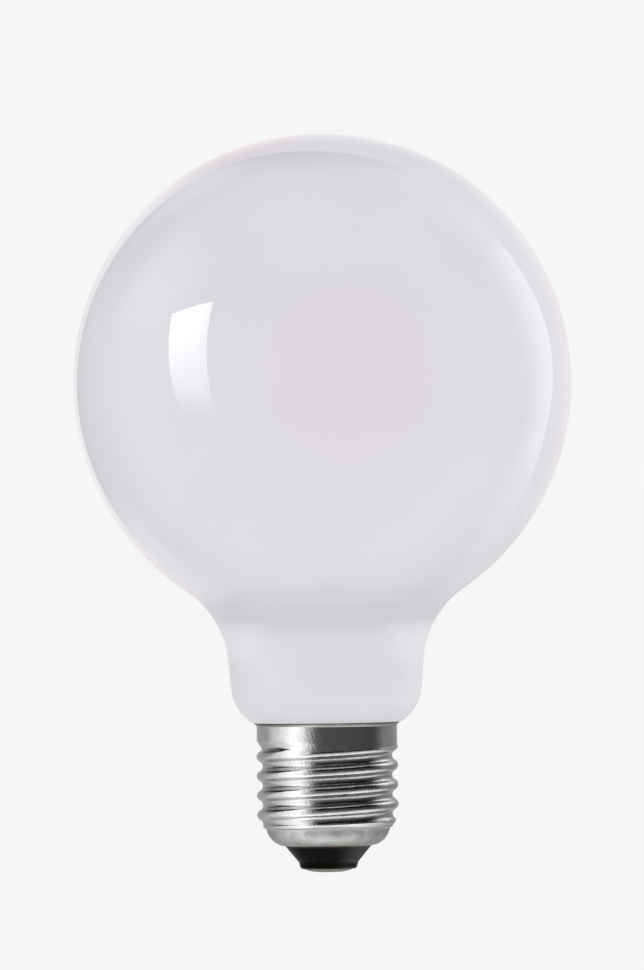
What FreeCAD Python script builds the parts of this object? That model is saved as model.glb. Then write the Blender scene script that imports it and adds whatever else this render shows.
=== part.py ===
import FreeCAD, Part
import os
from math import acos, asin, atan2, cos, pi, radians, sin, sqrt, tan

from FreeCAD import Vector

# An opal globe lamp stands on its centre contact, with its axis along +Z and its globe at the top.
# Sizes are in millimetres and angles in degrees. Heights are stacked up from the contact's tip.

# Centre contact: a shallow metal button in the tip of the insulator
contact_radius = 4.6
contact_height = 0.6
contact_flat_radius = 1.6
contact_depth = 0.5
contact_clearance = 0.05

# Insulator: a black glass cone, cast into the foot of the shell
insulator_height = 4.3
insulator_tip_radius = 5.36
insulator_tip_round = 0.6
insulator_tip_height = 1.25
insulator_tip_draft = 15.0
insulator_cast_depth = 1.8

# Screw shell: one thin sheet, drawn to a cup, rolled to a thread and flared at its mouth
sheet = 0.3
foot_hole_radius = 8.05
foot_round = 3.8
bowl_height = 3.2
bowl_radius = 11.57
bowl_draft = 20.0
thread_step = 0.35
thread_length = 14.45
thread_pitch = 3.629
thread_crest_radius = 13.2
thread_depth = 1.1
thread_first_crest = 0.5
thread_start_height = 0.5
thread_start_length = 1.9
collar_radius = 13.1
collar_fade = 1.7
collar_height = 2.7
lip_height = 0.65
lip_reach = 0.6

# Glass envelope: globe, concave neck and rounded shoulder, blown as one piece
globe_radius = 46.5
neck_fillet = 17.5
neck_length = 5.5
neck_taper = 5.2
neck_overhang = 4.05
shoulder_round = 8.5
glass_overhang = 0.3
glass_edge_round = 0.3
spigot_length = 3.0
spigot_clearance = 0.15

# Between two turns of the thread a narrow plain land of the sheet is left, this wide from its middle.
# Each turn's section runs on below the land, to this distance from the middle, and to this depth.
root_land = 0.15
buried_land = 0.05
buried_depth = 0.1
limit_clearance = 0.1

# Heights of the stack
shell_foot = contact_height + insulator_height
bowl_top = shell_foot + bowl_height
thread_foot = bowl_top + thread_step
thread_top = thread_foot + thread_length
collar_foot = thread_top + collar_fade
lip_foot = collar_foot + collar_height
rim = lip_foot + lip_height

# Radii that follow
root_radius = thread_crest_radius - thread_depth
rim_radius = collar_radius + lip_reach
glass_foot_radius = rim_radius + glass_overhang
neck_foot_radius = rim_radius + neck_overhang


def at(radius, height):
    """A point in the lathe's plane: its distance from the axis and its height."""
    return Vector(radius, 0, height)


def line(start, end):
    return Part.LineSegment(start, end).toShape()


def polyline(points):
    return [line(start, end) for start, end in zip(points, points[1:])]


def on_circle(centre, radius, angle):
    """The point of a circle at an angle above the outward direction."""
    return centre + at(radius * cos(angle), radius * sin(angle))


def arc(centre, radius, start, end):
    """The arc of a circle from one angle to another."""
    points = [on_circle(centre, radius, angle) for angle in (start, (start + end) / 2, end)]
    return Part.Arc(*points).toShape()


def turned(edges):
    """A closed outline, turned to a solid about the axis."""
    return Part.Face(Part.Wire(edges)).revolve(Vector(0, 0, 0), Vector(0, 0, 1), 360)


def disc(radius, low, high):
    """A plain cylinder on the axis, between two heights."""
    return Part.makeCylinder(radius, high - low, at(0, low))


def bowl_edges(inset):
    """The shell's foot, drawn in by an inset: a wide round corner and a drafted wall above it."""
    draft = radians(bowl_draft)
    wall_top = at(bowl_radius, bowl_top)
    height = shell_foot + foot_round
    centre = at(wall_top.x + ((height - wall_top.z) * sin(draft) - foot_round) / cos(draft), height)
    corner = foot_round - inset
    base = on_circle(centre, corner, -pi / 2)
    inner_top = at(wall_top.x - inset / cos(draft), wall_top.z)
    edges = [line(at(0, base.z), base), arc(centre, corner, -pi / 2, -draft)]
    edges.append(line(on_circle(centre, corner, -draft), inner_top))
    return edges


def filled_shell(inset):
    """The shell without its thread, filled to the axis and drawn in by an inset."""
    edges = bowl_edges(inset)
    first = edges[0].Vertexes[0].Point
    points = [
        edges[-1].Vertexes[1].Point,
        at(root_radius - inset, thread_foot),
        at(root_radius - inset, thread_top),
        at(collar_radius - inset, collar_foot),
        at(collar_radius - inset, lip_foot),
        at(rim_radius - inset, rim),
        at(0, rim),
        first,
    ]
    return turned(edges + polyline(points))


def ridge_outline():
    """One turn's section about its crest: crest and roots are equal arcs that meet in line."""
    half_pitch = thread_pitch / 2
    guess = (thread_depth ** 2 + half_pitch ** 2) / (4 * thread_depth)
    sink = guess - sqrt(guess ** 2 - root_land ** 2)
    depth = thread_depth + sink
    knuckle = (depth ** 2 + half_pitch ** 2) / (4 * depth)
    swing = atan2(half_pitch / 2, knuckle - depth / 2)
    crest_centre = at(thread_crest_radius - knuckle, 0)
    low_centre = at(thread_crest_radius - depth + knuckle, -half_pitch)
    high_centre = at(low_centre.x, half_pitch)
    end = asin(buried_land / knuckle)
    low_root = arc(low_centre, knuckle, pi - end, pi - swing)
    crest = arc(crest_centre, knuckle, -swing, swing)
    high_root = arc(high_centre, knuckle, pi + swing, pi + end)
    low_end = on_circle(low_centre, knuckle, pi - end)
    high_end = on_circle(high_centre, knuckle, pi + end)
    base = root_radius - buried_depth
    back = polyline([high_end, at(base, high_end.z), at(base, low_end.z), low_end])
    return [low_root, crest, high_root] + back


def thread_limits():
    """The turned space that the ridge may fill: it grows in at the foot and fades under the collar."""
    start_radius = root_radius + thread_start_height
    clear = thread_crest_radius + limit_clearance
    points = [
        at(0, thread_foot),
        at(start_radius - thread_step / 2, thread_foot),
        at(start_radius, thread_foot + thread_step / 2),
        at(start_radius, thread_foot + thread_start_length / 2),
        at(clear, thread_foot + thread_start_length),
        at(clear, thread_top),
        at(collar_radius - limit_clearance, collar_foot),
        at(0, collar_foot),
        at(0, thread_foot),
    ]
    return turned(polyline(points))


def ridge():
    """The round ridge, a right-hand helix whose first full crest is over +X near the foot."""
    start = thread_foot + thread_first_crest - thread_pitch
    height = collar_foot + thread_pitch - start
    helix = Part.makeLongHelix(thread_pitch, height, root_radius)
    sweep = Part.Wire(helix.Edges).makePipeShell([Part.Wire(ridge_outline())], True, True)
    sweep.translate(at(0, start))
    return sweep


def screw_shell():
    outside = filled_shell(0).fuse(ridge().common(thread_limits()))
    hollow = filled_shell(sheet).fuse(disc(foot_hole_radius, shell_foot - sheet, thread_foot))
    return outside.cut(hollow)


def insulator():
    """The cone fills the shell's foot from inside and narrows below it to a rounded tip."""
    tip_centre = at(insulator_tip_radius - insulator_tip_round, contact_height + insulator_tip_round)
    tip_top = contact_height + insulator_tip_height
    tip_rise = tip_top - tip_centre.z
    neck = at(insulator_tip_radius + tip_rise * tan(radians(insulator_tip_draft)), tip_top)
    tip = at(insulator_tip_radius, tip_centre.z)
    edges = [
        line(at(0, contact_height), on_circle(tip_centre, insulator_tip_round, -pi / 2)),
        arc(tip_centre, insulator_tip_round, -pi / 2, 0),
    ]
    cast_top = shell_foot + sheet + insulator_cast_depth
    points = [tip, neck, at(foot_hole_radius, shell_foot), at(foot_hole_radius, shell_foot + sheet)]
    points += [at(0, shell_foot + sheet), at(0, contact_height)]
    cone = turned(edges + polyline(points))
    cast = filled_shell(sheet).common(disc(collar_radius, shell_foot, cast_top))
    recess = disc(contact_radius + contact_clearance, contact_height, contact_height + contact_depth)
    return cone.fuse(cast).cut(recess).removeSplitter()


def centre_contact():
    """A button with a small flat at its tip and a round rise to its edge."""
    reach = contact_radius - contact_flat_radius
    dome = (reach ** 2 + contact_height ** 2) / (2 * contact_height)
    centre = at(contact_flat_radius, dome)
    edges = [
        line(at(0, 0), at(contact_flat_radius, 0)),
        arc(centre, dome, -pi / 2, -acos(reach / dome)),
    ]
    top = contact_height + contact_depth
    edges += polyline([at(contact_radius, contact_height), at(contact_radius, top), at(0, top), at(0, 0)])
    return turned(edges)


def globe():
    """The envelope rests on the shell's rim, and its spigot stands in the collar."""
    taper = radians(neck_taper)
    outward = at(cos(taper), -sin(taper))
    shoulder_x = neck_foot_radius - shoulder_round * cos(taper)
    shoulder_rise = sqrt(shoulder_round ** 2 - (glass_foot_radius - shoulder_x) ** 2)
    shoulder = at(shoulder_x, rim + shoulder_rise)
    neck_foot = shoulder + outward * shoulder_round
    neck_top = neck_foot + at(neck_length * tan(taper), neck_length)
    fillet = neck_top + outward * neck_fillet
    reach = globe_radius + neck_fillet
    middle = at(0, fillet.z + sqrt(reach ** 2 - fillet.x ** 2))
    to_fillet = atan2(fillet.z - middle.z, fillet.x)
    foot_angle = -acos((glass_foot_radius - shoulder.x) / shoulder_round)
    spigot = collar_radius - sheet - spigot_clearance
    spigot_foot = rim - spigot_length
    edges = polyline([at(0, spigot_foot), at(spigot, spigot_foot), at(spigot, rim), at(glass_foot_radius, rim)])
    edges += [
        arc(shoulder, shoulder_round, foot_angle, -taper),
        line(neck_foot, neck_top),
        arc(fillet, neck_fillet, pi - taper, pi + to_fillet),
        arc(middle, globe_radius, to_fillet, pi / 2),
        line(on_circle(middle, globe_radius, pi / 2), at(0, spigot_foot)),
    ]
    blown = turned(edges)
    return blown.makeFillet(glass_edge_round, circles_at(blown, glass_foot_radius, rim))


def circles_at(solid, radius, height):
    """The edges that start and end at one point of the lathe's plane: whole circles about the axis."""
    place = at(radius, height)
    return [edge for edge in solid.Edges if all(v.Point.isEqual(place, 1e-6) for v in edge.Vertexes)]


pieces = {
    "globe": globe(),
    "screw_shell": screw_shell(),
    "insulator": insulator(),
    "centre_contact": centre_contact(),
}

os.makedirs("parts", exist_ok=True)
for name, piece in pieces.items():
    piece.exportStep("parts/" + name + ".step")
    box = piece.BoundBox
    print(name, "valid", piece.isValid(), "solids", len(piece.Solids), "faces", len(piece.Faces))
    print("  volume", round(piece.Volume, 1), "from", round(box.ZMin, 2), "to", round(box.ZMax, 2))
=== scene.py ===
# %% [markdown]
# # An opal globe lamp on a screw cap
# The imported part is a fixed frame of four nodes: the opal globe, the screw shell, the black insulator and
# the centre contact. Nothing in it is moved. In each node's place Blender shows a finer piece of the same
# form with the finish of the real one, in a small studio. Each cell does one thing and prints what it made
# or measured.

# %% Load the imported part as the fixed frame
from math import acos, asin, atan2, cos, degrees, pi, radians, sin, sqrt, tan

import bpy
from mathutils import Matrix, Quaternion, Vector


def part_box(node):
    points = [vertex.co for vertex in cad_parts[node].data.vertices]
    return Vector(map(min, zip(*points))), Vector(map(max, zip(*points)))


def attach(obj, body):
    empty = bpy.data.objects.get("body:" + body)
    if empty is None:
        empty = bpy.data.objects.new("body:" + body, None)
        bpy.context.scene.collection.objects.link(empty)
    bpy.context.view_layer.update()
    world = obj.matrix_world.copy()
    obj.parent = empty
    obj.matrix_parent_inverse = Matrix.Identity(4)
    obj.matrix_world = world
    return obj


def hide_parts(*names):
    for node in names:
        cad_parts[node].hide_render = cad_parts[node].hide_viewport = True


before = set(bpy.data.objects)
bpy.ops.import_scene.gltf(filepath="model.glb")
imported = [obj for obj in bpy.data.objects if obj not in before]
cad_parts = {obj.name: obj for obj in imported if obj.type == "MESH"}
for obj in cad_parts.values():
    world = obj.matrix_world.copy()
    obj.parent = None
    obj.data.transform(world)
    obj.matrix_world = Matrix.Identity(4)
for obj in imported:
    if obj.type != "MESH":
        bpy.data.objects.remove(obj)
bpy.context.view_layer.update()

scene = bpy.context.scene
MM = 0.001
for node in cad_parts:
    low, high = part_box(node)
    print(node, "from", [round(v / MM, 2) for v in low], "to", [round(v / MM, 2) for v in high], "mm")

# %% [markdown]
# ## A shorthand for node trees
# Geometry trees, finishes and the studio's light are all node trees. Written out, each node takes four or
# five lines. This small class adds a node, feeds its inputs by name and hands it on, so that a tree reads
# almost like a sentence. The same class serves all three kinds of tree.

# %% The shorthand
class Graph:
    """A node tree in shorthand: each call adds one node or a few, and gives the result back."""

    def __init__(self, tree):
        self.tree = tree

    def join(self, socket, value):
        if isinstance(value, bpy.types.Node):
            value = next(out for out in value.outputs if out.enabled)
        if isinstance(value, bpy.types.NodeSocket):
            self.tree.links.new(value, socket)
        else:
            socket.default_value = value

    def add(self, kind, settings=None, **inputs):
        made = self.tree.nodes.new(kind)
        for name, value in (settings or {}).items():
            setattr(made, name, value)
        for name, value in inputs.items():
            label = name.replace("_", " ")
            self.join(next(s for s in made.inputs if s.name == label and s.enabled), value)
        return made

    def operate(self, kind, operation, values):
        made = self.add(kind, {"operation": operation})
        for socket, value in zip(made.inputs, values):
            self.join(socket, value)
        return next(out for out in made.outputs if out.enabled)

    def math(self, operation, *values):
        return self.operate("ShaderNodeMath", operation, values)

    def vector(self, operation, *values):
        return self.operate("ShaderNodeVectorMath", operation, values)

    def chain(self, operation, first, others):
        """One operation, worked along a row of values from left to right."""
        for other in others:
            first = self.math(operation, first, other)
        return first

    def plus(self, first, *others):
        return self.chain("ADD", first, others)

    def minus(self, first, *others):
        return self.chain("SUBTRACT", first, others)

    def times(self, first, *others):
        return self.chain("MULTIPLY", first, others)

    def over(self, first, *others):
        return self.chain("DIVIDE", first, others)

    def between(self, value, low, high, start=0.0, end=1.0, kind="SMOOTHSTEP"):
        """A value's way from low to high, mapped to start and end and held there."""
        made = self.add("ShaderNodeMapRange", {"interpolation_type": kind, "clamp": True}, Value=value)
        for name, number in (("From Min", low), ("From Max", high), ("To Min", start), ("To Max", end)):
            self.join(made.inputs[name], number)
        return made.outputs["Result"]

    def band(self, value, rise, fall):
        """One in a band and zero outside: it rises along one pair of marks and falls along the other."""
        return self.times(self.between(value, *rise), self.between(value, *fall))

    def mix(self, factor, first, second):
        """A mix of two numbers."""
        return self.add("ShaderNodeMix", Factor=factor, A=first, B=second)

    def blend(self, factor, first, second):
        """A mix of two colours."""
        return self.add("ShaderNodeMix", {"data_type": "RGBA"}, Factor=factor, A=first, B=second)

    def noise(self, place, scale, detail=2.0, roughness=0.5):
        """Soft noise from 0 to 1. The scale is in lumps per metre."""
        made = self.add("ShaderNodeTexNoise", Vector=place, Scale=scale, Detail=detail, Roughness=roughness)
        return made.outputs["Factor" if "Factor" in made.outputs else "Fac"]

    def bump(self, height, strength, distance, **below):
        """Relief from a pattern, of a depth in millimetres, on top of another relief if one is given."""
        return self.add("ShaderNodeBump", Height=height, Strength=strength, Distance=distance * MM, **below)

    def from_axis(self, x, y):
        return self.math("SQRT", self.plus(self.times(x, x), self.times(y, y)))


print("shorthand ready")

# %% [markdown]
# ## The lathe
# All four pieces are turned forms, so one rule makes them: an outline, drawn as a flat curve with its
# distance from the axis across and its height up, is swept round the axis. A Screw modifier could do that,
# but a Geometry Nodes tree also leaves room for what comes after the turning, such as the rolled thread.
# The outline's points are close together on its curves, and its corners are given small rounds, because
# no blown or pressed edge is quite sharp and a round edge catches the light.

# %% Draw outlines in millimetres
CORNER_STEPS = 4


def polar(centre, radius, angle):
    """The point of a circle at an angle above the outward direction."""
    return centre + radius * Vector((cos(angle), sin(angle)))


def arc(centre, radius, start, end, step):
    """Points along an arc, about a step apart."""
    count = max(3, round(abs(end - start) * radius / step))
    return [polar(centre, radius, start + (end - start) * i / count) for i in range(count + 1)]


def straight(start, end, step):
    """Points along a straight run, without its two ends."""
    count = max(1, round((end - start).length / step))
    return [start.lerp(end, i / count) for i in range(1, count)]


def round_corner(before, corner, after, radius):
    """A corner's small round, as points."""
    back, on = (before - corner).normalized(), (after - corner).normalized()
    half = back.angle(on) / 2
    middle = corner + (back + on).normalized() * radius / sin(half)
    start, end = corner + back * radius / tan(half), corner + on * radius / tan(half)
    points = [(start - middle).lerp(end - middle, i / CORNER_STEPS) for i in range(CORNER_STEPS + 1)]
    return [middle + point.normalized() * radius for point in points]


print("outline tools ready")

# %% The lathe tree
AXLE = 1 * MM
WELD = 0.001 * MM


def new_tree(name, sizes):
    """An empty Geometry Nodes tree with its named inputs: outline, finish, turn steps and sizes."""
    tree = bpy.data.node_groups.new(name, "GeometryNodeTree")
    sockets = [("Outline", "Geometry"), ("Finish", "Material"), ("Turn steps", "Int")]
    sockets += [(size, "Float") for size in sizes]
    for label, kind in sockets:
        tree.interface.new_socket(label, in_out="INPUT", socket_type="NodeSocket" + kind)
    tree.interface.new_socket("Piece", in_out="OUTPUT", socket_type="NodeSocketGeometry")
    graph = Graph(tree)
    return graph, graph.add("NodeGroupInput").outputs


def turned(graph, given):
    """Sweeps the outline round the axis, turns its faces outwards and welds the poles."""
    stood = graph.add("GeometryNodeTransform", Geometry=given["Outline"])
    graph.join(stood.inputs["Rotation"], (pi, 0, 0))
    graph.join(stood.inputs["Translation"], (-AXLE, 0, 0))
    axle = graph.add("GeometryNodeCurvePrimitiveCircle", Resolution=given["Turn steps"], Radius=AXLE)
    swept = graph.add("GeometryNodeCurveToMesh", Curve=axle, Profile_Curve=stood)
    outward = graph.add("GeometryNodeFlipFaces", Mesh=swept)
    return graph.add("GeometryNodeMergeByDistance", Geometry=outward, Distance=WELD)


def closed_off(graph, given, piece):
    """The tree's last nodes: smooth faces, real geometry and the finish."""
    smooth = graph.add("GeometryNodeSetShadeSmooth", Geometry=piece, Shade_Smooth=True)
    real = graph.add("GeometryNodeRealizeInstances", Geometry=smooth)
    painted = graph.add("GeometryNodeSetMaterial", Geometry=real, Material=given["Finish"])
    graph.add("NodeGroupOutput", Piece=painted)
    return graph.tree


graph, given = new_tree("lathe", [])
LATHE = closed_off(graph, given, turned(graph, given))
print("lathe tree has", len(LATHE.nodes), "nodes")

# %% Turn an outline on a lathe tree
def outline_curve(name, points, closed):
    """The outline as a flat curve object, for a lathe tree to turn."""
    curve = bpy.data.curves.new(name, "CURVE")
    curve.dimensions = "3D"
    spline = curve.splines.new("POLY")
    spline.points.add(len(points) - 1)
    for place, point in zip(spline.points, points):
        place.co = (point.x * MM, point.y * MM, 0, 1)
    spline.use_cyclic_u = closed
    obj = bpy.data.objects.new(name, curve)
    scene.collection.objects.link(obj)
    return obj


def turn_piece(name, points, tree, finish, steps, closed=False, sizes=None):
    """Runs a lathe tree on an outline and keeps its result as a plain mesh."""
    outline = outline_curve(name + "_outline", points, closed)
    modifier = outline.modifiers.new("lathe", "NODES")
    modifier.node_group = tree
    given = {"Finish": finish, "Turn steps": steps, **(sizes or {})}
    for socket in tree.interface.items_tree:
        if socket.name in given:
            modifier[socket.identifier] = given[socket.name]
    depsgraph = bpy.context.evaluated_depsgraph_get()
    mesh = bpy.data.meshes.new_from_object(outline.evaluated_get(depsgraph))
    bpy.data.objects.remove(outline)
    piece = bpy.data.objects.new(name, mesh)
    mesh.name = name
    scene.collection.objects.link(piece)
    faces = sum(len(face.vertices) - 2 for face in mesh.polygons)
    print(name, "has", len(points), "outline points and", faces, "triangles")
    return piece


print("lathe ready")

# %% [markdown]
# ## The opal glass
# Opal lamp glass is white all the way through, with a skin as smooth as clear glass. A Principled shader
# with a pale base, a low roughness and the index of glass does both. Light that the skin reflects at a
# flat angle doesn't reach the white below, so the glass darkens and then mirrors the room towards its
# edge without any paint. What the nodes add to the white is small: a slow unevenness, and painted light. A
# painted warm glow in the middle of the front and the back stands for the light source behind the glass,
# a painted grey shade lies in the hollow under the globe, painted pale reflections lie on the flanks of the
# neck below it, and a painted violet shade darkens the very top.

# %% Measure the globe on the frame
globe_low, globe_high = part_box("globe")
globe_reaches = [abs(end) for end in (*globe_low.xy, *globe_high.xy)]
GLOBE_RADIUS = min(globe_reaches) / MM
GLOBE_MIDDLE = Vector((0, 0, globe_high.z - max(globe_reaches)))
print("globe radius", round(GLOBE_RADIUS, 2), "mm, middle", round(GLOBE_MIDDLE.z / MM, 2), "mm up")

# %% Finish: opal glass, its white
def new_finish(name, **fixed):
    """A material with one Principled shader, whose fixed values are set on its own sockets."""
    material = bpy.data.materials.new(name)
    material.use_nodes = True
    shader = material.node_tree.nodes["Principled BSDF"]
    for label, value in fixed.items():
        shader.inputs[label.replace("_", " ")].default_value = value
    graph = Graph(material.node_tree)
    place = graph.add("ShaderNodeTexCoord").outputs["Object"]
    return material, graph, shader, place


def lathe_place(graph, place):
    """A place on a turned piece: its distance from the axis and its height, in millimetres."""
    x, y, z = graph.add("ShaderNodeSeparateXYZ", Vector=place).outputs
    return graph.over(graph.from_axis(x, y), MM), graph.over(z, MM)


BLACK = (0, 0, 0, 1)
DEEP_WHITE, PALE_WHITE = (0.755, 0.744, 0.797, 1), (0.765, 0.754, 0.807, 1)
# painted light on the glass: a warm glow, a grey shade in the hollow, a violet shade on the top and pale
# reflections on the neck flanks
PAINTED_GLOW_WHITE, HOLLOW_SHADE_WHITE = (0.776, 0.722, 0.772, 1), (0.60, 0.585, 0.63, 1)
TOP_SHADE_VIOLET, FLANK_REFLECTION_WHITE = (0, 0, 0.1, 1), (0.98, 0.95, 1.0, 1)
SPOT_DIRECTION = Vector((0.11, -0.993, 0.04))
SPOT_EDGE, SPOT_FULL = radians(27), radians(8)

opal, graph, shader, place = new_finish("opal_glass", IOR=1.5)
_, height = lathe_place(graph, place)
outward = graph.vector("NORMALIZE", graph.vector("SUBTRACT", place, GLOBE_MIDDLE))
facing = graph.math("ABSOLUTE", graph.vector("DOT_PRODUCT", outward, SPOT_DIRECTION))
cloud = graph.between(graph.noise(place, 45, 3), 0.3, 0.7, kind="LINEAR")
# painted shade: a greyer band in the hollow under the globe
hollow_shade = graph.band(height, (42.5, 47.5), (55, 48.5))
waist = graph.band(height, (38, 42), (48, 45))
# painted reflection: pale light on the neck's flanks, where they turn away from the view
flank_reflection = graph.between(graph.add("ShaderNodeLayerWeight", Blend=0.5).outputs["Facing"], 0.15, 0.42)

white = graph.blend(cloud, DEEP_WHITE, PALE_WHITE)
# painted glow: warm light in the middle of the front and the back, for a light source behind the glass
white = graph.blend(graph.between(facing, cos(SPOT_EDGE), cos(SPOT_FULL)), white, PAINTED_GLOW_WHITE)
# painted shade in the hollow under the globe
white = graph.blend(graph.times(hollow_shade, 0.62), white, HOLLOW_SHADE_WHITE)
# painted shade: the very top darkened towards violet, for the dark ceiling it mirrors
white = graph.blend(graph.between(height, 129, 133.5, 0, 0.06), white, TOP_SHADE_VIOLET)
# painted reflection on the flanks of the neck
white = graph.blend(graph.times(flank_reflection, waist, 0.30), white, FLANK_REFLECTION_WHITE)
graph.join(shader.inputs["Base Color"], white)
print("finish", opal.name, "warm within", round(degrees(SPOT_EDGE)), "degrees of the front")

# %% [markdown]
# ## The skin of the glass
# The globe's skin is fire-polished, so it mirrors sharply. The hollow and the neck were worked in a flame
# after blowing, which leaves them satin: the roughness climbs through the hollow and takes one more step at
# its narrow end. A trace of bump gives the globe the slow waves of blown glass.

# %% Finish: opal glass, its skin
polish = graph.between(graph.noise(place, 160, 2), 0.35, 0.75, 0.02, 0.035)
worked_hollow = graph.between(height, 66, 53, 0, 0.22)
worked_neck = graph.between(height, 51.5, 49.5, 0, 0.16)
graph.join(shader.inputs["Roughness"], graph.plus(polish, worked_hollow, worked_neck))
graph.join(shader.inputs["Normal"], graph.bump(graph.noise(place, 28, 1), 0.12, 0.1))
print("finish", opal.name, "has", len(graph.tree.nodes), "nodes")

# %% [markdown]
# ## The globe
# The envelope is one blown form: a sphere that runs through a hollow curve into a short drafted neck, then
# round a shoulder to the narrow foot that stands on the metal rim. Each curve touches the next in line, so
# the outline is built from arcs whose centres follow from the sizes, as a mould maker would draw it. The
# sphere's size and the rim's height are measured on the frame.

# %% Globe: centres of its arcs
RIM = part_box("screw_shell")[1].z / MM
neck_foot_radius, neck_length, neck_taper = 17.75, 5.5, radians(5.2)
neck_fillet, shoulder_round = 17.5, 8.5
glass_foot_radius, glass_edge = 14.0, 0.3

across_neck = Vector((cos(neck_taper), -sin(neck_taper)))
shoulder_x = neck_foot_radius - shoulder_round * cos(neck_taper)
shoulder = Vector((shoulder_x, RIM + sqrt(shoulder_round ** 2 - (glass_foot_radius - shoulder_x) ** 2)))
neck_foot = shoulder + across_neck * shoulder_round
neck_top = neck_foot + Vector((neck_length * tan(neck_taper), neck_length))
fillet = neck_top + across_neck * neck_fillet
middle = Vector((0, fillet.y + sqrt((GLOBE_RADIUS + neck_fillet) ** 2 - fillet.x ** 2)))
globe_turn = atan2(fillet.y - middle.y, fillet.x)
edge_height = RIM + glass_edge
edge_x = shoulder.x + sqrt((shoulder_round - glass_edge) ** 2 - (edge_height - shoulder.y) ** 2)
edge = Vector((edge_x, edge_height))
edge_turn = atan2(edge.y - shoulder.y, edge.x - shoulder.x)
print("shoulder round", round(shoulder.y, 2), "mm up, hollow curve", round(fillet.y, 2), "mm up")

# %% Globe: outline and piece
spigot_radius, spigot_length = 12.65, 3.0
spigot_foot = Vector((spigot_radius, RIM - spigot_length))
spigot_top = Vector((spigot_radius, RIM))
axis_foot = Vector((0, spigot_foot.y))

globe_points = [axis_foot] + straight(axis_foot, spigot_foot, 2.0)
globe_points += round_corner(axis_foot, spigot_foot, spigot_top, 0.3)
globe_points += round_corner(spigot_foot, spigot_top, Vector((glass_foot_radius, RIM)), 0.05)
globe_points += arc(edge, glass_edge, -pi / 2, edge_turn, 0.08)
globe_points += arc(shoulder, shoulder_round, edge_turn, -neck_taper, 0.4)[1:]
globe_points += straight(neck_foot, neck_top, 0.6)
globe_points += arc(fillet, neck_fillet, pi - neck_taper, pi + globe_turn, 0.6)
globe_points += arc(middle, GLOBE_RADIUS, globe_turn, pi / 2, 0.9)[1:]
globe_points[-1].x = 0
globe = turn_piece("opal_globe", globe_points, LATHE, opal, 224)

# %% [markdown]
# ## The plated shell
# The screw shell is one thin sheet of nickel-plated metal. Nickel is a slightly grey mirror, and on a cap
# that has been through the rolls and a tumbling barrel it is never clean. Hair lines run round with the
# rolls, fine pits break up the edge of every highlight, and the metal is darker and duller towards the
# groove roots, in patches. The drawn bowl at the foot is satin and mottled, the lip is darker, and a
# painted shadow line runs just under the glass. All of it reads Object coordinates: noise that is squeezed
# along the height makes the hair lines, and the distance from the axis and the height find the grooves,
# the bowl and the lip.

# %% Sizes of the shell
sheet, foot_hole = 0.3, 8.05
shell_foot, bowl_top, thread_foot, thread_top, collar_foot, lip_foot = 4.9, 8.1, 8.45, 22.9, 24.6, 27.3
bowl_radius, root, collar, lip_reach = 11.57, 12.1, 13.1, 0.6
foot_round, bowl_draft = 3.8, radians(20)
print("shell from", shell_foot, "to", round(RIM, 2), "mm, thread from", thread_foot, "to", thread_top, "mm")

# %% Finish: nickel plate, its tone
plate, graph, shader, place = new_finish("plated_shell", Metallic=1.0)
radius, height = lathe_place(graph, place)
hair = graph.noise(graph.vector("MULTIPLY", place, Vector((1, 1, 22))), 260, 4, 0.6)
pits = graph.noise(place, 1900, 3, 0.65)
stain = graph.noise(place, 420, 4, 0.6)
# darker and duller towards the groove roots, in patches
groove_roots = graph.times(graph.between(radius, root + 0.8, root + 0.05), graph.between(stain, 0.35, 0.65))
mottle = graph.between(stain, 0.35, 0.65, 0.7, 1.35)
bowl = graph.times(graph.between(height, bowl_top + 0.5, bowl_top - 0.5, 0, 0.26), mottle)

nickel = graph.blend(graph.between(stain, 0.3, 0.7), (0.585, 0.585, 0.58, 1), (0.66, 0.66, 0.655, 1))
nickel = graph.blend(graph.times(groove_roots, 0.3), nickel, (0.36, 0.355, 0.345, 1))
nickel = graph.blend(bowl, nickel, BLACK)
nickel = graph.blend(graph.between(height, lip_foot - 0.1, lip_foot + 0.2, 0, 0.60), nickel, BLACK)
# painted shadow: a thin dark line just under the glass, where the glass foot stands on the lip
nickel = graph.blend(graph.between(height, RIM - 0.23, RIM - 0.15, 0, 0.85), nickel, BLACK)
graph.join(shader.inputs["Base Color"], nickel)
print("finish", plate.name, "dark seam", round(RIM - 0.15, 2), "mm up")

# %% Finish: nickel plate, its skin
sheen = graph.between(pits, 0.45, 0.75, 0.09, 0.16)
satin = graph.between(height, bowl_top + 0.4, bowl_top - 0.2, 0, 0.32)
graph.join(shader.inputs["Roughness"], graph.plus(sheen, satin, graph.times(groove_roots, 0.07)))
lines = graph.bump(hair, 0.2, 0.01)
dents = graph.bump(stain, 0.5, 0.06, Normal=lines)
graph.join(shader.inputs["Normal"], graph.bump(pits, 0.6, 0.08, Normal=dents))
print("finish", plate.name, "has", len(graph.tree.nodes), "nodes")

# %% [markdown]
# ## The rolled thread
# The thread isn't cut: rollers press a round wave into the sheet, so crest and groove are equal arcs that
# flow into each other. It follows a rule, which makes it work for Geometry Nodes: after the shell is
# turned, each point of the outer wall is moved out to the wave's radius for its own height and angle. The
# wave climbs one pitch in a turn. A soft limit lets it grow out of the wall above the foot and fade again
# under the plain collar, the last groove fills up, and what is left of the wave blends into the collar, as
# the rollers leave it.

# %% Sizes of the thread
FULL_CIRCLE = 2 * pi

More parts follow.
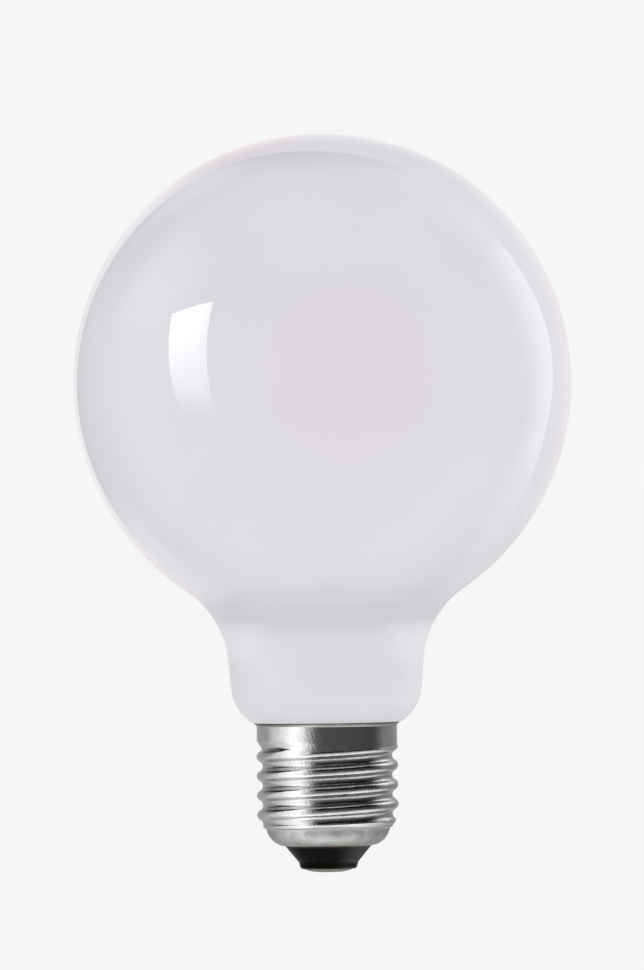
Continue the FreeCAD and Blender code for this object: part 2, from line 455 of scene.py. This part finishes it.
# Lengths are in metres. The last groove, and the run-out before it, are in turns
THREAD = {
    "Pitch": 3.629 * MM,
    "Depth": 1.1 * MM,
    "Crest radius": 13.2 * MM,
    "First crest": 8.95 * MM,
    "Foot": thread_foot * MM,
    "Start height": 0.5 * MM,
    "Start length": 1.9 * MM,
    "Top": thread_top * MM,
    "Collar foot": collar_foot * MM,
    "Collar radius": collar * MM,
    "Sheet": sheet * MM,
    "Softness": 0.1 * MM,
    "Last groove": 3.74,
    "Run-out": 0.22,
    "Collar blend": 0.4 * MM,
}
print("thread of", round((THREAD["Top"] - THREAD["Foot"]) / THREAD["Pitch"], 1), "turns")

# %% Thread tree: the wave's radius at each height and angle
graph, given = new_tree("rolled_thread", THREAD)
wall = turned(graph, given)
x, y, z = graph.add("ShaderNodeSeparateXYZ", Vector=graph.add("GeometryNodeInputPosition")).outputs
radius = graph.from_axis(x, y)
turns = graph.over(graph.math("ARCTAN2", y, x), FULL_CIRCLE)
phase = graph.minus(graph.over(graph.minus(z, given["First crest"]), given["Pitch"]), turns)
off_crest = graph.math("ABSOLUTE", graph.minus(phase, graph.math("ROUND", phase)))
away = graph.times(off_crest, given["Pitch"])

half_pitch = graph.times(given["Pitch"], 0.5)
square = graph.plus(graph.math("POWER", given["Depth"], 2.0), graph.math("POWER", half_pitch, 2.0))
knuckle = graph.over(square, graph.times(given["Depth"], 4.0))


def knuckle_height(graph, distance):
    """How far an arc of the knuckle's radius stands above its centre, at a distance along the height."""
    left = graph.minus(graph.math("POWER", knuckle, 2.0), graph.math("POWER", distance, 2.0))
    return graph.math("SQRT", graph.math("MAXIMUM", left, 0.0))


root_radius = graph.minus(given["Crest radius"], given["Depth"])
crest = graph.plus(graph.minus(given["Crest radius"], knuckle), knuckle_height(graph, away))
groove = graph.minus(graph.plus(root_radius, knuckle), knuckle_height(graph, graph.minus(half_pitch, away)))
on_crest = graph.math("LESS_THAN", away, graph.times(given["Pitch"], 0.25))
rolled = graph.mix(on_crest, groove, crest)
print("the wave takes", len(graph.tree.nodes), "nodes")

# %% Thread tree: where the thread grows in and runs out
turn_below = graph.plus(graph.math("FLOOR", phase), turns)
run_out = graph.minus(given["Last groove"], given["Run-out"])
filled = graph.between(turn_below, run_out, given["Last groove"])
ridge = graph.mix(filled, rolled, given["Collar radius"])

start_radius = graph.plus(root_radius, given["Start height"])
half_start = graph.plus(given["Foot"], graph.times(given["Start length"], 0.5))
full_start = graph.plus(given["Foot"], given["Start length"])
clear = graph.plus(given["Crest radius"], given["Softness"])
lead = graph.between(z, given["Foot"], half_start, root_radius, start_radius)
grown = graph.between(z, half_start, full_start, 0.0, graph.minus(clear, start_radius))
fading = graph.between(z, given["Top"], given["Collar foot"], clear, given["Collar radius"])
limit = graph.math("MINIMUM", graph.plus(lead, grown), fading)
limited = graph.math("SMOOTH_MIN", ridge, limit, given["Softness"])
last = graph.minus(given["Collar foot"], given["Collar blend"])
wave = graph.mix(graph.between(z, last, given["Collar foot"]), limited, given["Collar radius"])
print("with its two ends it takes", len(graph.tree.nodes), "nodes")

# %% Thread tree: move the outer wall
raised = graph.math("MAXIMUM", graph.over(wave, radius), 1.0)
under = graph.minus(root_radius, graph.times(given["Sheet"], 0.5))
to_collar = graph.minus(given["Collar radius"], root_radius)
flare = graph.between(z, given["Top"], given["Collar foot"], 0.0, to_collar, "LINEAR")
is_outer = graph.math("GREATER_THAN", radius, graph.plus(under, flare))
above_foot = graph.math("GREATER_THAN", z, given["Foot"])
below_collar = graph.math("LESS_THAN", z, graph.plus(given["Collar foot"], given["Collar blend"]))
chosen = graph.times(is_outer, above_foot, below_collar)
moved = graph.add("ShaderNodeCombineXYZ", X=graph.times(x, raised), Y=graph.times(y, raised), Z=z)
threaded = graph.add("GeometryNodeSetPosition", Geometry=wall, Selection=chosen, Position=moved)
ROLLED = closed_off(graph, given, threaded)
print("thread tree has", len(ROLLED.nodes), "nodes")

# %% Screw shell: outline
bowl_height = shell_foot + foot_round
bowl_x = bowl_radius + ((bowl_height - bowl_top) * sin(bowl_draft) - foot_round) / cos(bowl_draft)
bowl_centre = Vector((bowl_x, bowl_height))
hole_low, hole_high = Vector((foot_hole, shell_foot)), Vector((foot_hole, shell_foot + sheet))
base_low = polar(bowl_centre, foot_round, -pi / 2)
base_high = polar(bowl_centre, foot_round - sheet, -pi / 2)

# Each corner of the wall: distance from the axis, height, round, and step of the run that follows
WALL = [
    (bowl_radius, bowl_top, 0.15, 0.2),
    (root, thread_foot, 0.15, 0.1),
    (root, thread_top, 0.5, 0.1),
    (collar, collar_foot, 0.5, 0.3),
    (collar, lip_foot, 0.25, 0.2),
    (collar + lip_reach, RIM, 0.04, 1),
    (collar + lip_reach - sheet, RIM, 0.1, 1),
    (collar - sheet, lip_foot, 0.2, 1),
    (collar - sheet, collar_foot, 0.2, 1),
    (root - sheet, thread_top, 0.2, 2),
    (root - sheet, thread_foot, 0.1, 1),
    (bowl_radius - sheet / cos(bowl_draft), bowl_top, 0.1, 1),
]


def softened(start, corners, end):
    """A run of corners with a round at each and points between. Its two ends are left out."""
    points = [start] + [Vector(corner[:2]) for corner in corners] + [end]
    made = []
    for i, (x, y, corner_round, step) in enumerate(corners, 1):
        made += round_corner(points[i - 1], points[i], points[i + 1], corner_round)
        if i < len(corners):
            made += straight(made[-1], points[i + 1], step)[:-1]
    return made


outer_start = polar(bowl_centre, foot_round, -bowl_draft)
inner_end = polar(bowl_centre, foot_round - sheet, -bowl_draft)
shell_points = round_corner(hole_high, hole_low, base_low, 0.1)
shell_points += arc(bowl_centre, foot_round, -pi / 2, -bowl_draft, 0.3)
shell_points += softened(outer_start, WALL, inner_end)
shell_points += arc(bowl_centre, foot_round - sheet, -bowl_draft, -pi / 2, 0.5)
shell_points += round_corner(base_high, hole_high, hole_low, 0.1)
print("shell outline has", len(shell_points), "points")

# %% Screw shell: piece
shell = turn_piece("screw_shell_plated", shell_points, ROLLED, plate, 300, closed=True, sizes=THREAD)

# %% [markdown]
# ## The black glass insulator
# The cone under the shell is cast black glass, poured hot into the shell's foot. It is nearly black, with
# a gloss that is softer than blown glass because it cooled against a mould, and thin edges of such glass
# let a little brown light through. A dark base, a painted brown glint at the two edges found by height,
# standing in for that light, and a shallow flow pattern in the bump give that.

# %% Sizes of the insulator
contact_foot, contact_floor, recess_radius = 0.6, 1.1, 4.65
tip_radius, tip_round, tip_top, tip_draft = 5.36, 0.6, 1.85, radians(15)
cast_top = 7.0
print("insulator from", contact_foot, "to", cast_top, "mm")

# %% Finish: black glass
BLACK_GLASS, EDGE_GLINT_BROWN = (0.0025, 0.0025, 0.0025, 1), (0.075, 0.041, 0.017, 1)

black, graph, shader, place = new_finish("black_glass", IOR=1.52, Specular_IOR_Level=0.055)
_, height = lathe_place(graph, place)
top_edge = graph.between(height, shell_foot - 0.45, shell_foot - 0.05)
tip_edge = graph.between(height, contact_foot + 0.3, contact_foot + 0.02)
mottle = graph.noise(place, 900, 3)
# painted glint: brown light at the cone's top edge and tip, for light passing through thin glass
edge_glint = graph.times(graph.math("MAXIMUM", top_edge, tip_edge), graph.between(mottle, 0.35, 0.65, 0.3, 1.0))
graph.join(shader.inputs["Base Color"], graph.blend(edge_glint, BLACK_GLASS, EDGE_GLINT_BROWN))
graph.join(shader.inputs["Roughness"], graph.between(mottle, 0.3, 0.7, 0.22, 0.34))
graph.join(shader.inputs["Normal"], graph.bump(graph.noise(place, 350, 2), 0.15, 0.03))
print("finish", black.name)

# %% Insulator: outline and piece
POLE_RING = 2.0
tip_centre = Vector((tip_radius - tip_round, contact_foot + tip_round))
tip = Vector((tip_radius, tip_centre.y))
tip_neck = Vector((tip_radius + (tip_top - tip.y) * tan(tip_draft), tip_top))
cone_top = Vector((foot_hole, shell_foot))
recess_corner = Vector((recess_radius, contact_floor))
recess_edge = Vector((recess_radius, contact_foot))
cast_turn = asin((cast_top - bowl_centre.y) / (foot_round - sheet))
cast_edge, cast_middle = polar(bowl_centre, foot_round - sheet, cast_turn), Vector((0, cast_top))

cone_points = [Vector((0, contact_floor)), Vector((POLE_RING, contact_floor))]
cone_points += round_corner(cone_points[-1], recess_corner, recess_edge, 0.1)
cone_points += round_corner(recess_corner, recess_edge, Vector((tip_centre.x, contact_foot)), 0.04)
cone_points += arc(tip_centre, tip_round, -pi / 2, 0, 0.12)
cone_points += straight(tip, tip_neck, 0.2)
cone_points += round_corner(tip, tip_neck, cone_top, 0.4)
cone_points += straight(cone_points[-1], cone_top, 0.25)
cone_points += [cone_top, hole_high] + straight(hole_high, base_high, 0.5)
cone_points += arc(bowl_centre, foot_round - sheet, -pi / 2, cast_turn, 0.5)
cone_points += straight(cast_edge, cast_middle, 2.0) + [cast_middle]
insulator = turn_piece("black_glass_cone", cone_points, LATHE, black, 160)

# %% [markdown]
# ## The centre contact
# The contact is a shallow tinned button. It is a dull olive grey, not a mirror, with faint rings from the
# press and small scratches from the holder's spring. A sine of the distance from the axis draws the rings,
# and stretched noise the scratches.

# %% Finish: tinned metal
RING_STEP = 0.35
OLIVE_GREY, WORN_TIN = (0.20, 0.20, 0.17, 1), (0.32, 0.31, 0.28, 1)

tinned, graph, shader, place = new_finish("tinned_contact", Metallic=1.0)
radius, _ = lathe_place(graph, place)
rings = graph.math("SINE", graph.times(radius, FULL_CIRCLE / RING_STEP))
scratch = graph.noise(graph.vector("MULTIPLY", place, Vector((1, 9, 1))), 500, 3, 0.6)
spots = graph.noise(place, 1400, 3, 0.6)
graph.join(shader.inputs["Base Color"], graph.blend(graph.between(spots, 0.35, 0.65), OLIVE_GREY, WORN_TIN))
graph.join(shader.inputs["Roughness"], graph.between(scratch, 0.3, 0.7, 0.38, 0.52))
pressed = graph.bump(rings, 0.1, 0.01)
graph.join(shader.inputs["Normal"], graph.bump(scratch, 0.3, 0.02, Normal=pressed))
print("finish", tinned.name)

# %% Centre contact: outline and piece
contact_radius, contact_flat, contact_edge = 4.6, 1.6, 0.05
dome_reach = contact_radius - contact_flat
dome = (dome_reach ** 2 + contact_foot ** 2) / (2 * contact_foot)
contact_tip, flat_edge = Vector((0, 0)), Vector((contact_flat, 0))

button_points = [contact_tip] + straight(contact_tip, flat_edge, 0.4)
button_points += arc(Vector((contact_flat, dome)), dome, -pi / 2, -acos(dome_reach / dome), 0.25)
button_points += [Vector((contact_radius, contact_floor - contact_edge)),
                  Vector((contact_radius - contact_edge, contact_floor)),
                  Vector((POLE_RING, contact_floor)), Vector((0, contact_floor))]
button = turn_piece("contact_button", button_points, LATHE, tinned, 128)

# %% [markdown]
# ## Each piece in its node's place
# A piece that stands for a node hides the node and takes over its body. The lamp has no joint, so its one
# body is the root.

# %% Put each piece in its node's place
PLACES = (
    (globe, "globe", "opal_glass"),
    (shell, "screw_shell", "plated_shell"),
    (insulator, "insulator", "black_glass"),
    (button, "centre_contact", "tinned_contact"),
)
for piece, node, slot in PLACES:
    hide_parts(node)
    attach(piece, "root")
    print(piece.name, "stands for", node)

# %% [markdown]
# ## The studio
# Matt surfaces get an even soft light of level 1 from all round, so each colour renders about as it is
# written. What the glass skin and the metal mirror is a plain room, dark in front and on the right, paler
# on the left and at the back, dark overhead, and with a pale table below. Light Path tells the two apart,
# and gives the camera the backdrop's pale grey. The floor is a plain pale sheet under the lamp with its
# real shadow, low enough to lie below the front view.

# %% Helpers for the studio
FRONT, RIGHT, DOWN = Vector((0, -1, 0)), Vector((1, 0, 0)), Vector((0, 0, -1))


def heading(azimuth, elevation):
    """The direction at an azimuth from the front, to the right, and an elevation, in degrees."""
    a, e = radians(azimuth), radians(elevation)
    return Vector((sin(a) * cos(e), -cos(a) * cos(e), sin(e)))


def ramp(graph, value, low, high, stops):
    """A smooth series of levels along a value."""
    made = graph.add("ShaderNodeValToRGB", Fac=graph.between(value, low, high, kind="LINEAR"))
    made.color_ramp.interpolation = "EASE"
    points = made.color_ramp.elements
    while len(points) < len(stops):
        points.new(0.5)
    for point, (place, level) in zip(points, stops):
        point.position = (place - low) / (high - low)
        point.color = (level, level, level, 1)
    return made.outputs["Color"]


print("studio helpers ready")

# %% World: even light, backdrop and what the shiny pieces mirror
BACKDROP = 0.9216
TO_DEGREES = 180 / pi
ROOM = [(-180, 0.45), (-135, 0.45), (-110, 0.40), (-60, 0.25), (-25, 0.14), (0, 0.10), (80, 0.08),
        (92, 0.12), (106, 0.28), (145, 0.30), (180, 0.45)]
TABLE = [(-90, 0.85), (-65, 0.75), (-40, 0.52), (-20, 0.50)]
TABLE_EDGE = (-12, -32)
CEILING_EDGE, CEILING_SHARE = (8, 36), 0.05

world = bpy.data.worlds.new("studio")
scene.world = world
world.use_nodes = True
world.cycles.sampling_method = "NONE"
world.node_tree.nodes.clear()
graph = Graph(world.node_tree)
look = graph.vector("NORMALIZE", graph.add("ShaderNodeTexCoord").outputs["Generated"])
x, y, z = graph.add("ShaderNodeSeparateXYZ", Vector=look).outputs
azimuth = graph.times(graph.math("ARCTAN2", x, graph.times(y, -1.0)), TO_DEGREES)
elevation = graph.times(graph.math("ARCSINE", z), TO_DEGREES)
ceiling = graph.between(elevation, *CEILING_EDGE, 1.0, CEILING_SHARE)
walls = graph.times(ramp(graph, azimuth, -180, 180, ROOM), ceiling)
room = graph.mix(graph.between(elevation, *TABLE_EDGE), walls, ramp(graph, elevation, -90, 90, TABLE))
path = graph.add("ShaderNodeLightPath").outputs
shiny = graph.math("MAXIMUM", path["Is Glossy Ray"], path["Is Transmission Ray"])
level = graph.mix(path["Is Camera Ray"], graph.mix(shiny, 1.0, room), BACKDROP)
background = graph.add("ShaderNodeBackground", Color=(1, 1, 1, 1), Strength=level)
graph.add("ShaderNodeOutputWorld", Surface=background)
print("world has", len(world.node_tree.nodes), "nodes")

# %% Floor: a plain pale sheet
floor_reach, floor_height = 30.0, -40 * MM
floor_mesh = bpy.data.meshes.new("floor")
corners = [(-1, -1), (1, -1), (1, 1), (-1, 1)]
floor_mesh.from_pydata([(x * floor_reach, y * floor_reach, floor_height) for x, y in corners], [],
                       [(0, 1, 2, 3)])
floor = bpy.data.objects.new("floor", floor_mesh)
scene.collection.objects.link(floor)
floor.visible_glossy = False
pale, graph, shader, place = new_finish("pale_floor", Roughness=1.0, Specular_IOR_Level=0.0)
shader.inputs["Base Color"].default_value = (BACKDROP, BACKDROP, BACKDROP, 1)
floor_mesh.materials.append(pale)
print("floor reaches", floor_reach, "m,", floor_height / MM, "mm below the contact")

# %% [markdown]
# ## Cards
# A photographer shapes what glass and metal mirror with cards: glowing panels that stand outside the
# picture. Each card here is a patch of a large sphere round the globe, whose glow is an attribute of its
# points, and a card without cover lets all light behind it through. Neither the camera nor the matt
# surfaces see it, and light linking says which pieces do. A card that covers hides the room behind it from
# every piece, though it only glows for its own. So the distances matter: the cap's own cards stand nearest,
# then the backdrop, which covers, and then the other cards for the glass.

# %% What a card is made of
glow, graph, shader, place = new_finish("card_glow")
graph.tree.nodes.remove(shader)
painted = graph.add("ShaderNodeAttribute", {"attribute_name": "glow"}).outputs
given_out = graph.add("ShaderNodeEmission", Color=painted["Color"], Strength=1.0)
let_through = graph.add("ShaderNodeBsdfTransparent", Color=graph.minus(1.0, painted["Alpha"]))
both = graph.tree.nodes.new("ShaderNodeAddShader")
graph.join(both.inputs[0], given_out)
graph.join(both.inputs[1], let_through)
graph.join(graph.tree.nodes["Material Output"].inputs["Surface"], both)
glow.cycles.emission_sampling = "NONE"
print("card glow has", len(graph.tree.nodes), "nodes")

# %% Which pieces see a card
def seen_by(name, *pieces):
    """A light link: the pieces that a card glows for."""
    link = bpy.data.collections.new(name)
    for piece in pieces:
        link.objects.link(piece)
    return link


GLASS = seen_by("glass_only", globe)
METAL = seen_by("metal_only", shell, button)
CAP = seen_by("cap_only", shell, button, insulator)
CONE = seen_by("cone_only", insulator)
NEAR, MIDWAY, FAR = 7.0, 7.5, 8.0
print("cards stand", NEAR, "to", FAR, "m off")

# %% Add a card
GRID = 40


def add_card(name, direction, light, link=GLASS, distance=FAR, cover=0.0):
    """A patch of a sphere round the globe. Both rules take two shares from 0 to 1: across and up."""
    row = GRID + 1
    shares = [(i / GRID, j / GRID) for j in range(row) for i in range(row)]
    points = [GLOBE_MIDDLE + direction(across, up).normalized() * distance for across, up in shares]
    faces = [(a, a + 1, a + 1 + row, a + row) for a in range(row * GRID) if a % row < GRID]
    mesh = bpy.data.meshes.new(name)
    mesh.from_pydata(points, [], faces)
    colours = [light(across, up) for across, up in shares]
    glows = mesh.attributes.new("glow", "FLOAT_COLOR", "POINT")
    glows.data.foreach_set("color", [part for colour in colours for part in (*colour, cover)])
    mesh.materials.append(glow)
    card = bpy.data.objects.new(name, mesh)
    scene.collection.objects.link(card)
    card.visible_camera = card.visible_diffuse = card.visible_shadow = False
    card.light_linking.receiver_collection = link
    print("card", name, "brightest", round(max(max(colour) for colour in colours), 2))


# %% Rules for a card's directions and light
WHITE, YELLOWISH = Vector((1, 1, 1)), Vector((1, 1, 0.92))
NEUTRAL, PINK, WARM = Vector((1, 0.97, 0.98)), Vector((1, 0.80, 0.81)), Vector((1, 0.87, 0.90))


def passed(value, start, end):
    """How far a value has come from start to end, as a share that starts and ends softly."""
    share = min(max((value - start) / (end - start), 0.0), 1.0)
    return share * share * (3 - 2 * share)


def at_share(ends, share):
    """The value at a share of the way between two ends."""
    return ends[0] + (ends[1] - ends[0]) * share


def along(stops, value):
    """The light at a value on a list of stops, in straight runs."""
    for (low, first), (high, second) in zip(stops, stops[1:]):
        if value <= high:
            return first + (second - first) * (max(value - low, 0) / (high - low))
    return stops[-1][1]


def off_axis(axis, side, spoke, angle):
    """The direction at an angle off an axis, on a spoke that is counted from one side, in degrees."""
    outward = Quaternion(axis, radians(spoke)) @ side
    return axis * cos(radians(angle)) + outward * sin(radians(angle))


def patch(azimuths, elevations):
    """A rule for directions: a patch between two azimuths and two elevations."""
    def direction(across, up):
        return heading(at_share(azimuths, across), at_share(elevations, up))
    return direction


def faded(across, up, sides=(0.4, 0.4), ends=(0.4, 0.4)):
    """A level that fades out towards a patch's four borders."""
    level = 1.0
    for share, border in zip((across, 1 - across, up, 1 - up), (*sides, *ends)):
        level *= passed(share, 0, border) if border else 1.0
    return level


def wash(level):
    """A rule for light: one level that fades out softly towards every border."""
    def light(across, up):
        return level * WHITE * faded(across, up)
    return light


print("card rules ready")

# %% [markdown]
# ## The window
# The brightest thing in the glass is a window on the left, a leaning four-sided shape whose glow fades
# downwards, with a dimmer strip along its right side. Its corners are given as directions, and the patch
# between them is a mix of the four.

# %% Window card
WINDOW = [heading(-70.6, -9.1), heading(-51.3, -13.0), heading(-81.3, 24.8), heading(-60.1, 33.3)]
WINDOW_UPWARDS = [(0, 0.35), (0.09, 0.9), (0.19, 2.3), (0.33, 3.6), (0.51, 5.0), (0.7, 6.4), (1, 7.6)]
WINDOW_ACROSS = [(0, 1.0), (0.80, 1.0), (0.84, 0.82), (1, 0.8)]


def window_direction(across, up):
    low_left, low_right, high_left, high_right = WINDOW
    return low_left.lerp(low_right, across).lerp(high_left.lerp(high_right, across), up)


def window_light(across, up):
    return YELLOWISH * along(WINDOW_UPWARDS, up) * along(WINDOW_ACROSS, across)


add_card("window_card", window_direction, window_light)

# %% [markdown]
# ## The strip and the front
# Behind the lamp on the right stands a curved strip light, which draws the long bright crescent inside
# the globe's right edge. A wide dish in front and at the sides is so faint that it only lifts the white
# skin a little, and less towards the top. Both are laid out in spokes round the view: the spoke is the
# angle round the picture, and the angle off the front says how far behind the lamp a card reaches.

# %% Strip and front cards
STRIP_LIGHT = [(-50, 0), (-38, 0.05), (-30, 0.2), (-24, 0.7), (-17, 1.4), (0, 1.5), (15, 1.5), (28, 1.65),
               (35, 1.55), (38, 0.95), (45, 0.8), (52, 0.6), (60, 0.42), (75, 0.22), (85, 0.08), (92, 0)]
STRIP_START = [(-50, 98), (-30, 98), (-15, 105), (0, 105), (15, 102), (30, 97), (92, 98)]
STRIP_SPOKES, STRIP_ANGLES, STRIP_FULL = (-50, 92), (95, 143), 126
FRONT_DISH = [(0, 0.45), (55, 0.48), (75, 0.58), (85, 0.63), (93, 0.62), (102, 0.50), (125, 0)]
FRONT_EDGE, FRONT_TOP = 125, (0.75, -0.05)


def strip_direction(across, up):
    return off_axis(FRONT, RIGHT, at_share(STRIP_SPOKES, across), at_share(STRIP_ANGLES, up))


def strip_light(across, up):
    spoke = at_share(STRIP_SPOKES, across)
    behind = passed(at_share(STRIP_ANGLES, up), along(STRIP_START, spoke), STRIP_FULL)
    return WHITE * along(STRIP_LIGHT, spoke) * behind


def front_direction(across, up):
    return off_axis(FRONT, RIGHT, 360 * across, FRONT_EDGE * up)


def front_light(across, up):
    below_top = passed(front_direction(across, up).z, *FRONT_TOP)
    return WHITE * along(FRONT_DISH, FRONT_EDGE * up) * below_top


add_card("strip_card", strip_direction, strip_light)
add_card("front_card", front_direction, front_light)

# %% [markdown]
# ## The backdrop
# The rim of the globe mirrors the bright backdrop behind the lamp, as a band that is wide on the right and
# narrow on the left, warm on the right and below, and pink at the upper left. The backdrop is a disc a
# little off the view's axis. Its edge and its light are lists by the angle round the picture, from the
# right and upwards. It covers the room, so the room's own level is added to its light. The cap mirrors the
# same disc only as a plain part of the room, on a card of its own that stands nearer.

# %% Backdrop cards
DISC_AXIS = heading(168.5, 8.1)
DISC_SIDE = DISC_AXIS.cross(Vector((0, 0, 1))).normalized()
DISC_LIGHT = [(0, 0.68 * WARM), (18, 0.62 * WARM), (32, 0.62 * NEUTRAL), (45, 0.56 * NEUTRAL),
              (60, 0.50 * NEUTRAL), (75, 0.66 * NEUTRAL), (90, 0.64 * NEUTRAL), (103, 0.68 * PINK),
              (122, 0.57 * PINK), (134, 0.62 * NEUTRAL), (165, 0.47 * NEUTRAL), (182, 0.60 * NEUTRAL),
              (200, 0.64 * NEUTRAL), (225, 0.58 * WARM), (270, 0.42 * WARM), (315, 0.30 * NEUTRAL),
              (330, 0.54 * NEUTRAL), (345, 0.62 * WARM), (360, 0.68 * WARM)]
DISC_EDGE = [(0, 33.0), (7, 32.8), (27, 35.6), (47, 36.6), (67, 36.4), (87, 37.0), (104, 38.6), (124, 36.6),
             (140, 36.4), (156, 35.8), (172, 34.3), (183, 33.2), (193, 34.0), (202, 34.8), (211, 38.5),
             (222, 41), (240, 40), (260, 38), (307, 42), (317, 42), (332, 41.2), (347, 35.2), (360, 33.0)]
DISC_MIDDLE = (0.8, 1.0)
TABLE_BEHIND, CAP_BACKDROP = 0.5, 1.1


def room_light(seen):
    """The level of the plain room in a direction, as the world gives it to the shiny pieces."""
    azimuth, elevation = degrees(atan2(seen.x, -seen.y)), degrees(asin(seen.z))
    walls = along(ROOM, azimuth) * (1 - (1 - CEILING_SHARE) * passed(elevation, *CEILING_EDGE))
    return walls + (TABLE_BEHIND - walls) * passed(elevation, *TABLE_EDGE)


def disc_direction(across, up):
    return off_axis(DISC_AXIS, DISC_SIDE, -360 * across, along(DISC_EDGE, 360 * across) * up)


def disc_light(across, up):
    seen = disc_direction(across, up)
    level = along(DISC_LIGHT, degrees(atan2(seen.z, seen.x)) % 360)
    return level * at_share(DISC_MIDDLE, passed(seen.y, 1, 0.9)) + room_light(seen) * WHITE


def plain_light(across, up):
    return CAP_BACKDROP * room_light(disc_direction(across, up)) * WHITE


add_card("backdrop_card", disc_direction, disc_light, GLASS, MIDWAY, cover=1.0)
add_card("plain_backdrop", disc_direction, plain_light, CAP, NEAR)

# %% [markdown]
# ## Washes on the glass
# A few soft patches do what a reflector in a studio does. One carries the backdrop's warm light on beyond
# its lower left edge, and three lift the skin on the lower right, the upper left and the back.

# %% Soft cards for the glass
CORNER_SPOKES, CORNER_ANGLES, CORNER_LEVEL = (-203, -252), (38, 72), 0.50


def corner_direction(across, up):
    return off_axis(DISC_AXIS, DISC_SIDE, at_share(CORNER_SPOKES, across), at_share(CORNER_ANGLES, up))


def corner_light(across, up):
    return CORNER_LEVEL * WARM * faded(across, up, (0.4, 0.3), (0.05, 0.45))


add_card("corner_card", corner_direction, corner_light)
add_card("lower_wash", patch((110, 160), (-44, -10)), wash(0.5))
add_card("back_wash", patch((-172, -136), (20, 52)), wash(0.4))
add_card("left_wash", patch((-130, -66), (8, 54)), wash(0.8))

# %% [markdown]
# ## What the cap mirrors
# Bright metal looks like metal through the contrast in what it mirrors. A broad soft light on the left
# gives the collar and each crest their highlight, and its sharp right edge makes the step to the dark room
# that the metal shows from its middle to the right. A card behind on the right lights the other edge, and
# two from below give the undersides of the crests and the bowl their grey. The black cone has a card of its
# own, because its skin reflects so little.

# %% Cards for the cap
SOFT_LIGHT = [(-140, 0.0), (-112, 0.22), (-92, 0.55), (-72, 1.0), (-58, 1.38), (-48, 1.35), (-38, 1.0),
              (-27, 0.30), (-19, 0.0)]
SOFT_TOP = [(-140, -10), (-112, 5), (-92, 35), (-64, 70), (-19, 70)]
SOFT_UPWARDS = [(-85, 0.5), (-45, 0.8), (-20, 1), (8, 1), (25, 1.4), (75, 1.4)]
SOFT_AZIMUTHS, SOFT_ELEVATIONS = (-140, -18), (-85, 75)
SOFT_LEAN, SOFT_FADE = 0.25, 20
UNDER_ANGLE, UNDER_LEVEL, UNDER_BACK = 50, 0.58, (0.3, -0.2)


def soft_light(across, up):
    azimuth, elevation = at_share(SOFT_AZIMUTHS, across), at_share(SOFT_ELEVATIONS, up)
    top = along(SOFT_TOP, azimuth)
    level = along(SOFT_LIGHT, azimuth + SOFT_LEAN * abs(elevation)) * along(SOFT_UPWARDS, elevation)
    return WHITE * level * passed(elevation, top, top - SOFT_FADE)


def under_direction(across, up):
    return off_axis(DOWN, RIGHT, 360 * across, UNDER_ANGLE * up)


def under_light(across, up):
    in_front = passed(under_direction(across, up).y, *UNDER_BACK)
    return UNDER_LEVEL * WHITE * faded(across, up, (0, 0), (0, 0.5)) * in_front


add_card("soft_card", patch(SOFT_AZIMUTHS, SOFT_ELEVATIONS), soft_light, METAL, NEAR)
add_card("right_card", patch((95, 175), (8, 72)), wash(1.35), METAL, NEAR)
add_card("low_card", patch((25, 150), (-72, -12)), wash(0.55), METAL, NEAR)
add_card("under_card", under_direction, under_light, METAL, NEAR)
add_card("cone_card", patch((20, 165), (-75, -10)), wash(2.6), CONE, NEAR)

# %% [markdown]
# ## The camera
# The photograph was taken from far away with a long lens, level with the lamp, so its outline is almost a
# drawing. The camera stands three metres off and a third of a degree up, and one pixel is 0.187 mm at the
# lamp's axis. A small roll stands for the way the real glass leans in its cap.

# %% Camera
FRAME_WIDTH, FRAME_HEIGHT, MM_PER_PIXEL = 644, 970, 0.1865
AXIS_X, CONTACT_Y = 323.7, 872.0
DISTANCE, RISE, ROLL = 3.0, 0.3, 0.75

camera_data = bpy.data.cameras.new("camera")
camera_data.sensor_width = 36.0
camera_data.lens = camera_data.sensor_width * DISTANCE / (FRAME_HEIGHT * MM_PER_PIXEL * MM)
camera_data.clip_start, camera_data.clip_end = 0.1, 200.0
camera = bpy.data.objects.new("camera", camera_data)
scene.collection.objects.link(camera)
aim_x, aim_z = FRAME_WIDTH / 2 - AXIS_X, CONTACT_Y - FRAME_HEIGHT / 2
aim = Vector((aim_x, 0, aim_z)) * MM_PER_PIXEL * MM
back = heading(0, RISE)
camera.location = aim + back * DISTANCE
camera.rotation_mode = "QUATERNION"
camera.rotation_quaternion = (-back).to_track_quat("-Z", "Y") @ Quaternion((0, 0, 1), -radians(ROLL))
scene.camera = camera
scene.view_settings.view_transform = "Standard"
print("lens", round(camera_data.lens, 1), "mm, aimed", round(aim.z / MM, 1), "mm up")
